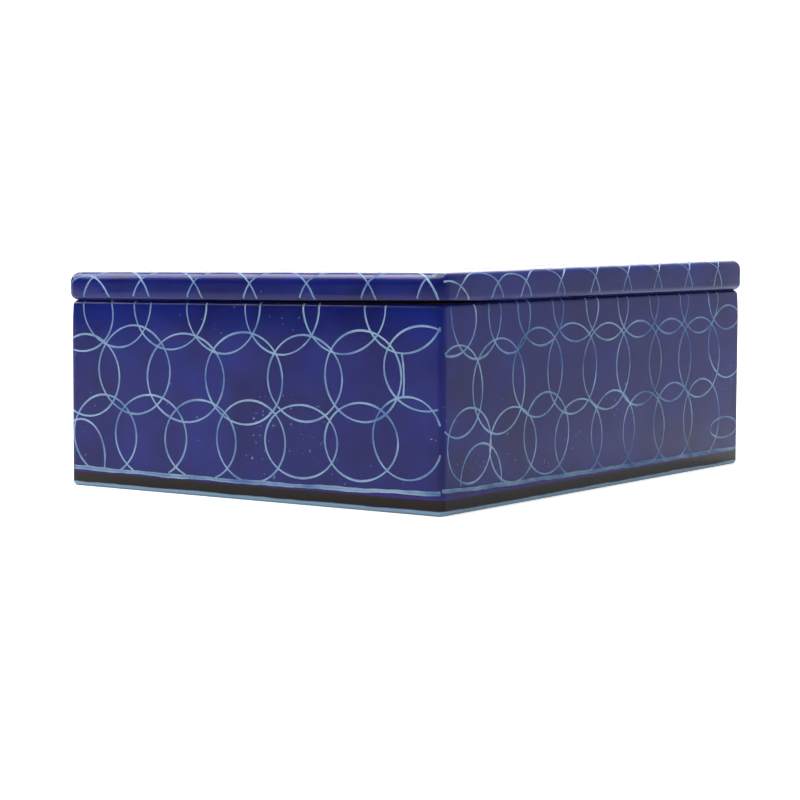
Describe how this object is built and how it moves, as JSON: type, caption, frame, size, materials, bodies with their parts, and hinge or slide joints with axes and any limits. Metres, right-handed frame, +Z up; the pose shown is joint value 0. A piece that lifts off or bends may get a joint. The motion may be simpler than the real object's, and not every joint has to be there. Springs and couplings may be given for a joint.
{
  "type": "lidded trinket box",
  "caption": "Low rectangular carved stone trinket box with a lift-off lid, dyed blue and scratched with interlocking circles.",
  "frame": {"origin": "middle of the flat underside of the body, on the surface it stands on", "axes": "+Z up, out of the lid; X along the short sides, Y along the long sides; the rim is highest at +X, the lid is thickest at +Y, and the corner with the widest lid gap is at +X -Y"},
  "size_m": [0.0762, 0.1016, 0.0379],
  "materials": {
    "dyed_soapstone_body": "blue-violet dyed and waxed soapstone, satin, pale where scratched",
    "dyed_soapstone_lid": "blue-violet dyed and waxed soapstone, satin, pale where scratched"
  },
  "bodies": {
    "body": {"box_body": "dyed_soapstone_body"},
    "lid": {"lid": "dyed_soapstone_lid"}
  },
  "joints": [
    {"name": "lid_lift", "type": "slide", "parent": "body", "child": "lid", "axis": [0, 0, 1], "range_m": [0, 0.045]}
  ]
}
